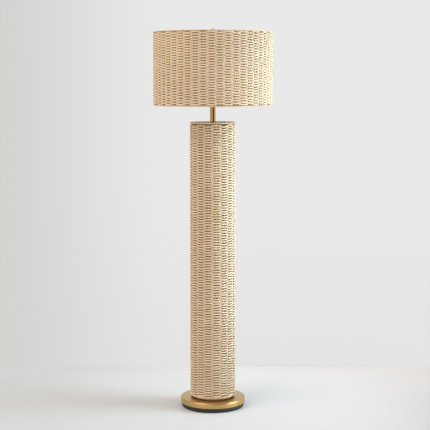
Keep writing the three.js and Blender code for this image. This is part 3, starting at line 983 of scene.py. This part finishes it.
def makeSaddle():
    # A strip bent up at both ends, whose narrow tips stand inside the sleeves
    thickness = saddle["thickness"]
    half, width, top = high("harp_saddle")
    bottom = low("harp_saddle").z
    shoulder = bottom + saddle["shoulder"]
    right = [(half, bottom, saddle["bend"]), (half, shoulder), (half, shoulder + touch), (half, top)]
    inside = half - thickness
    right += [(inside, top), (inside, shoulder + touch), (inside, shoulder)]
    right.append((inside, bottom + thickness, saddle["bend"] - thickness))
    left = [(-corner[0], *corner[1:]) for corner in right[::-1]]
    bm = bmesh.new()
    outline(bm, right + left, closed=True)
    bmesh.ops.contextual_create(bm, geom=bm.edges[:])
    made = bmesh.ops.extrude_face_region(bm, geom=bm.faces[:])["geom"]
    far = [item for item in made if isinstance(item, bmesh.types.BMVert)]
    bmesh.ops.translate(bm, verts=far, vec=(0, 2 * width, 0))
    bmesh.ops.translate(bm, verts=bm.verts, vec=(0, -width, 0))
    for vert in bm.verts:
        if vert.co.z > shoulder + touch / 2:
            vert.co.y *= saddle["tip"] / 2 / width
    hole = base["pipeHole"]
    bore = [(0, bottom - touch), (hole, bottom - touch), (hole, shoulder), (0, shoulder)]
    drill = spun(bore, saddle["drillSteps"])
    finishPiece("harpSaddle", cut(bm, drill), "harp_saddle", "wireBrass")


# Socket with its rotary switch

socket = {
    "wall": 0.9 * mm,
    "collar": 8 * mm,
    "collarHeight": 7 * mm,
    "rim": 5 * mm,
    "flare": 1.4 * mm,
    "bead": 0.45 * mm,
    "stem": 2 * mm,
    "stemHole": 2.45 * mm,
    "screwWall": 0.8 * mm,
    "bellShares": (0.65, 0.5),  # (across, up) from the collar's top to the shoulder
    "bellCurve": 4 * mm,
    "collarEdge": 0.5 * mm,
    "collarCurve": 1.5 * mm,
    "shoulderCurve": 3 * mm,
    "liningCurve": 2 * mm,
    "beadCurve": 0.3 * mm,
    "flareCurve": 1 * mm,
    "edge": 0.2 * mm,
    "boreSteps": 24,
}

knob = {
    "flutes": 20,
    "fluteDepth": 0.45 * mm,
    "stepsPerFlute": 8,
    "rows": 6,
    "neckShare": 0.6,
    "waistShare": 0.3,
    "fadeShare": 0.2,  # of the length, in which the flutes run out
    "crown": 1.1 * mm,
    "dish": 0.4 * mm,
    "footEdge": 0.4 * mm,
    "dishEdge": 0.3 * mm,
    "dishSlope": 0.5 * mm,
}


def makeSocket():
    wall = socket["wall"]
    radius, bottom, rim = sizes("socket_cap")
    shoulder = rim - socket["rim"]
    collar = socket["collar"]
    collarTop = bottom + socket["collarHeight"]
    acrossShare, upShare = socket["bellShares"]
    bell = collar * (1 - acrossShare) + radius * acrossShare
    bellLevel = collarTop * (1 - upShare) + shoulder * upShare
    cap = [
        (base["pipeHole"], bottom),
        (collar, bottom, socket["collarEdge"]),
        (collar, collarTop, socket["collarCurve"]),
        (bell, bellLevel, socket["bellCurve"]),
        (radius, shoulder, socket["shoulderCurve"]),
        (radius, rim, wall / 3),
        (radius - wall, rim, wall / 3),
        (radius - wall, shoulder + wall / 2, socket["liningCurve"]),
        (collar - wall, collarTop + wall),
        (base["pipeHole"], collarTop + wall),
    ]
    finishPiece("socketCap", spun(cap), "socket_cap")

    _, foot, top = sizes("socket_shell")
    side = radius - wall - touch
    bead = rim + touch
    groove = top - 8 * wall
    edge = socket["edge"]
    flare = socket["flare"]
    shell = [
        (side - wall, foot),
        (side, foot),
        (side, bead),
        (radius, bead, wall / 2),
        (radius, bead + 2 * wall, wall / 2),
        (side, bead + 3 * wall),
        (side, groove - wall, edge),
        (side + socket["bead"], groove, socket["beadCurve"]),
        (side, groove + wall, edge),
        (side, top - 2 * flare, socket["flareCurve"]),
        (side + flare, top, edge),
        (side + flare - wall, top, edge),
        (side - wall, top - 2 * flare, socket["flareCurve"]),
    ]
    level = middle("switch_stem").z
    forwards = Matrix.Translation((0, 0, level)) @ Matrix.Rotation(math.pi / 2, 4, "X")
    hole = socket["stemHole"]
    drill = [(0, side / 2), (hole, side / 2), (hole, 2 * side), (0, 2 * side)]
    bored = cut(spun(shell), turned(spun(drill, socket["boreSteps"]), forwards))
    finishPiece("socketShell", bored, "socket_shell")

    screw, screwFoot, screwTop = sizes("socket_screw_shell")
    lined = tube(screw - socket["screwWall"], screw, screwFoot, screwTop, edge)
    finishPiece("screwShell", spun(lined), "socket_screw_shell")

    start = -high("switch_stem").y
    end = -low("switch_stem").y
    stem = [(0, start), (socket["stem"], start, edge), (socket["stem"], end), (0, end)]
    bm = turned(spun(stem, socket["boreSteps"]), forwards)
    finishPiece("switchStem", bm, "switch_stem", "steel", "switch")
    makeKnob(forwards)


def makeKnob(forwards):
    start = -high("switch_knob").y
    end = -low("switch_knob").y
    grip = high("switch_knob").x
    length = end - start
    waist = start + length * knob["waistShare"]
    face = grip * knob["neckShare"]
    rows = knob["rows"]
    handle = [
        (0, start),
        (face, start, knob["footEdge"]),
        *[(grip, waist + (end - waist - knob["crown"]) * row / rows) for row in range(rows)],
        (grip, end, knob["crown"]),
        (face, end, knob["dishEdge"]),
        (face - knob["dishSlope"], end - knob["dish"], knob["dishEdge"]),
        (0, end - knob["dish"]),
    ]
    bm = spun(handle, knob["flutes"] * knob["stepsPerFlute"])

    def flute(angle, height):
        run = smoothStep((height - waist) / (length * knob["fadeShare"]) + 0.5)
        fade = run * smoothStep((end - height) / knob["crown"])
        return knob["fluteDepth"] * fade * (0.5 + 0.5 * math.cos(angle * knob["flutes"])) ** 2

    ripple(bm, start + touch, end - touch, flute)
    bm = turned(bm, forwards)
    finishPiece("switchKnob", bm, "switch_knob", "gloss", "switch", sharp=50)


# Bulb

bulb = {
    "globeJoin": -0.42,  # where the globe turns into the throat, in quarter turns below its middle
    "throatShare": 0.47,
    "threadPitch": 3.6 * mm,
    "threadDepth": 1.0 * mm,
    "rowsPerThread": 10,
    "taper": 3 * mm,
    "pullShare": 0.55,  # of the globe's radius, for the curve into the throat
    "tipEdge": 0.5 * mm,
    "globeSteps": 24,
    "throatSteps": 12,
    "capSteps": 64,
}


def bow(start, startPull, endPull, end, count):  # points of a cubic from start to end
    points = []
    for index in range(count):
        share = index / count
        rest = 1 - share
        weights = (rest ** 3, 3 * rest ** 2 * share, 3 * rest * share ** 2, share ** 3)
        corners = (start, startPull, endPull, end)
        points.append([
            sum(weight * corner[axis] for weight, corner in zip(weights, corners)) for axis in (0, 1)
        ])
    return points


def makeBulb():
    radius, foot, top = sizes("bulb_glass")
    globe = arc(0, top - radius, radius, bulb["globeJoin"], 1, bulb["globeSteps"])
    slant = bulb["globeJoin"] * math.pi / 2
    pull = radius * bulb["pullShare"]
    throat = radius * bulb["throatShare"]
    globePull = (globe[0][0] + pull * math.sin(slant), globe[0][1] - pull * math.cos(slant))
    throatPull = (throat, foot + pull / 2)
    glass = [
        (0, foot),
        *bow((throat, foot), throatPull, globePull, globe[0], bulb["throatSteps"]),
        *globe[:-1],
        (0, top),
    ]
    finishPiece("bulbGlass", spun(glass), "bulb_glass", "glass", "bulb", sharp=60)

    capRadius, capFoot, capTop = sizes("bulb_cap")
    wallFoot = capFoot + bulb["taper"]
    rows = round((capTop - wallFoot) / bulb["threadPitch"] * bulb["rowsPerThread"])
    wall = [(capRadius, wallFoot + (capTop - wallFoot) * index / rows) for index in range(rows + 1)]
    tip = radiusOf("bulb_contact")
    shell = [(0, capFoot), (tip + touch, capFoot, bulb["tipEdge"]), *wall, (0, capTop)]
    cap = spun(shell, bulb["capSteps"])

    def thread(angle, height):
        fade = smoothStep((capTop - height) / bulb["threadPitch"] * 2)
        wave = 0.5 - 0.5 * math.cos(wholeTurn * height / bulb["threadPitch"] - angle)
        return bulb["threadDepth"] * wave * fade

    ripple(cap, wallFoot - touch, capTop - touch, thread)
    finishPiece("bulbCap", cap, "bulb_cap", "steel", "bulb", sharp=60)


# Shade fitting: lining, wire rings, spider and finial

fitting = {
    "lining": 1.2 * mm,
    "ringWire": 2 * mm,
    "armWire": 1.9 * mm,
    "armEnd": 10.5 * mm,
    "armBendShare": 0.22,
    "bore": 3.6 * mm,
    "liningEdge": 0.3 * mm,
    "washerEdge": 0.4 * mm,
    "liningSteps": 188,
    "ringSteps": 144,
    "wireSides": 12,
    "arms": 3,
}

finial = {
    "footShare": 0.14,
    "neckShare": 0.24,
    "neck": 4.6 * mm,
    "bead": 5.4 * mm,
    "beadHeight": 2.4 * mm,
    "knob": 6.6 * mm,
    "knobJoin": -0.45,  # in quarter turns below the knob's middle
    "boreRoom": 2 * mm,  # over the stud's post
    "edge": 0.5 * mm,
    "flangeCurve": 0.7 * mm,
    "neckCurve": 1 * mm,
    "knobSteps": 14,
    "steps": 64,
}


def makeShadeFitting():
    outer, foot, top = sizes("shade_lining")
    wall = fitting["lining"]
    sheet = tube(outer - wall, outer, foot + wall, top - wall, fitting["liningEdge"])
    bm = spun(sheet, fitting["liningSteps"])
    finishPiece("shadeLining", bm, "shade_lining", "lining", "shade")

    wire = fitting["ringWire"]
    ringRadius = radiusOf("shade_bottom_ring") - wire
    for name, node in (("shadeTopRing", "shade_top_ring"), ("shadeBottomRing", "shade_bottom_ring")):
        section = arc(ringRadius, middle(node).z, wire, 0, 4, fitting["wireSides"])[:-1]
        finishPiece(name, spun(section, fitting["ringSteps"]), node, "wireBrass", body="shade")

    disc, discFoot, discTop = sizes("spider_washer")
    washer = tube(fitting["bore"], disc, discFoot, discTop, fitting["washerEdge"])
    finishPiece("spiderWasher", spun(washer), "spider_washer", body="shade")

    armWire = fitting["armWire"]
    armLevel = discTop + touch + armWire
    ringLevel = middle("shade_top_ring").z
    bend = ringRadius * fitting["armBendShare"]
    for count in range(fitting["arms"]):
        turn = Matrix.Rotation(math.pi / 2 + wholeTurn * count / fitting["arms"], 3, "Z")
        points = [
            Vector((ringRadius - wire - touch, 0, ringLevel)),
            Vector((bend * 2, 0, ringLevel)),
            Vector((bend, 0, ringLevel)),
            Vector((disc + armWire, 0, armLevel)),
            Vector((fitting["armEnd"], 0, armLevel)),
        ]
        path = [turn @ point for point in points]
        finishWire(f"spiderArm{count + 1}", path, armWire, f"spider_arm_{count + 1}", "shade")


def makeFinial():
    flange, foot, top = sizes("finial")
    height = top - foot
    bore = fitting["bore"]
    boreTop = high("harp_stud").z + finial["boreRoom"]
    neckRadius = finial["neck"]
    neckLevel = foot + height * finial["neckShare"]
    knobRadius = finial["knob"]
    ball = arc(0, top - knobRadius, knobRadius, finial["knobJoin"], 1, finial["knobSteps"])
    edge = finial["edge"]
    shape = [
        (0, boreTop),
        (bore, boreTop),
        (bore, foot),
        (flange, foot, edge),
        (flange, foot + height * finial["footShare"], finial["flangeCurve"]),
        (neckRadius, neckLevel, finial["neckCurve"]),
        (finial["bead"], neckLevel + finial["beadHeight"] / 2, edge),
        (neckRadius, neckLevel + finial["beadHeight"], edge),
        *ball[:-1],
        (0, top),
    ]
    finishPiece("finialKnob", spun(shape, finial["steps"]), "finial", body="finial_body")


# Solids that keep their own shape, all but hidden inside the lamp

keptSolids = {
    "base_washer": "steel",
    "base_nut": "steel",
    "column_tube": "board",
    "column_foot_board": "board",
    "lamp_pipe": "steel",
    "socket_insulator": "paper",
    "switch_body": "brown",
    "socket_contact": "spunBrass",
    "bulb_contact": "steel",
}


def dressSolids():
    for node, look in keptSolids.items():
        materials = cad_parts[node].data.materials
        materials.clear()
        materials.append(looks[look])


# Floor, background and lights

stage = {
    "floorBack": 0.62,  # where the floor meets the backdrop, behind the lamp
    "floorFront": -9.0,
    "floorSide": 7.0,
    "ambient": 0.72,
    # The floor's tints are painted light: darker to the left, paler to the right and behind the lamp
    "floorLeft": colour(0.56, 0.55, 0.535),
    "floorRight": colour(0.725, 0.705, 0.70),
    "floorBehind": colour(0.95, 0.92, 0.905),  # painted light, behind the lamp to the right
    "floorEnds": (-0.8, 0.8),  # where across the floor the painted light is darkest and palest
    "floorDepths": (-0.05, 0.55),  # where its tint changes from the front to the back
    "wallLeft": colour(0.64, 0.64, 0.62),
    "wallRight": colour(0.82, 0.815, 0.82),
    "wallEnds": (-0.2, -0.02),  # sideways direction in which the wall is darkest and palest
    "wallDips": (-0.26, -0.08),  # upward direction in which the wall turns from its foot's tone
    "wallFootShare": 0.75,  # of the paleness, at the wall's foot
    "room": colour(0.10, 0.035, 0.002),  # unlit part of the room, seen only in the brass
    "roomLeft": (-0.05, 0.09),  # sideways directions between which it begins
    "roomRight": (-0.9, -0.7),  # and ends, counted towards the left
    "roomFront": (0.1, 0.3),  # direction towards the camera in which it begins
    "mottleScale": 2.2,
    "mottleShare": 0.15,
    "grainScale": 120,
    "gloss": 0.2,
    "aim": (0, 0, 0.8),  # what the lights point at
}

# The window light is kept out of the reflections, where a smaller soft light stands for it
lights = [
    {
        "name": "windowLight",
        "place": (1.2, -0.17, 1.15),
        "size": (0.9, 1.4),
        "spread": 80,
        "power": 10.3,
        "tint": (0.65, 0.86, 1),
        "reflected": False,
        "diffused": True,
    },
    {
        "name": "glintLight",
        "place": (1.15, -0.35, 0.35),
        "size": (0.6, 0.5),
        "spread": 120,
        "power": 10,
        "tint": (1, 1, 1),
        "reflected": True,
        "diffused": False,
    },
    {
        "name": "frontLight",
        "place": (-3.1, -2.9, 3.2),
        "size": (4.2, 4.2),
        "spread": 180,
        "power": 149,
        "tint": (1, 0.93, 0.84),
        "reflected": True,
        "diffused": True,
    },
]


def makeFloor():
    look = Look("paleFloor", **{"Specular IOR Level": stage["gloss"]})
    across, depth, _ = look.split(look.place())
    mottle = look.noise(stage["mottleScale"])
    share = stage["mottleShare"]
    # Painted light: the floor darkens to the left and pales behind the lamp to the right
    pale = across.ramp(*stage["floorEnds"]) * (1 - share) + mottle * share
    right = look.mix(depth.ramp(*stage["floorDepths"]), stage["floorRight"], stage["floorBehind"])
    tint = look.mix(pale, stage["floorLeft"], right)
    grain = look.noise(stage["grainScale"])
    half = (stage["floorBack"] - stage["floorFront"]) / 2
    bm = bmesh.new()
    bmesh.ops.create_grid(bm, x_segments=1, y_segments=1, size=1)
    bmesh.ops.scale(bm, vec=(stage["floorSide"], half, 1), verts=bm.verts)
    bmesh.ops.translate(bm, vec=(0, stage["floorBack"] - half, 0), verts=bm.verts)
    floor = linked("floor", cleaned(bm, "floor"))
    floor.data.materials.append(look.finish(colour=tint, roughness=0.7 + grain * 0.1))


def makeBackdrop():
    # The camera and the brass see a pale wall with painted shade that darkens it to the left and towards
    # its foot, and the brass an unlit part of the room in front of the lamp. The light comes from a plain
    # white sky.
    world = bpy.data.worlds.new("studio")
    scene.world = world
    graph = Graph(world)
    side, depth, up = graph.split(graph.node("TexCoord", output="Generated"))
    foot = stage["wallFootShare"]
    pale = side.ramp(*stage["wallEnds"]) * (foot + (1 - foot) * up.ramp(*stage["wallDips"]))
    wall = graph.mix(pale, stage["wallLeft"], stage["wallRight"])
    unlit = side.ramp(*stage["roomLeft"]) * (0 - side).ramp(*stage["roomRight"])
    unlit = unlit * (0 - depth).ramp(*stage["roomFront"])
    glossy = graph.node("LightPath", output="Is Glossy Ray")
    view = graph.node("Background", None, {"Color": graph.mix(unlit * glossy, wall, stage["room"])})
    sky = graph.node("Background", None, {"Color": colour(1, 1, 1), "Strength": stage["ambient"]})
    seen = graph.node("LightPath", output="Is Camera Ray") + glossy
    both = graph.node("MixShader", None, {0: seen, 1: sky, 2: view})
    graph.node("OutputWorld", None, {"Surface": both})


def makeLights():
    for plan in lights:
        light = bpy.data.lights.new(plan["name"], "AREA")
        light.shape = "RECTANGLE"
        light.size, light.size_y = plan["size"]
        light.energy = plan["power"]
        light.color = plan["tint"]
        light.spread = math.radians(plan["spread"])
        holder = linked(plan["name"], light)
        holder.location = plan["place"]
        holder.visible_camera = False
        holder.visible_glossy = plan["reflected"]
        holder.visible_diffuse = plan["diffused"]
        towards = Vector(stage["aim"]) - Vector(plan["place"])
        holder.rotation_euler = towards.to_track_quat("-Z", "Y").to_euler()


makeCamera()
makeFloor()
makeBackdrop()
makeLights()
print("stage made")
dressSolids()
makeBase()
print("base made")
makeNeck()
print("neck made")
makeHarp()
makeSleeve("left")
makeSleeve("right")
makeSaddle()
print("harp made")
makeSocket()
makeBulb()
print("socket and bulb made")
makeShadeFitting()
makeFinial()
print("shade fitting made")
weaveWall("column", columnWeave)
print("column woven")
weaveWall("shade", shadeWeave)
print("shade woven")
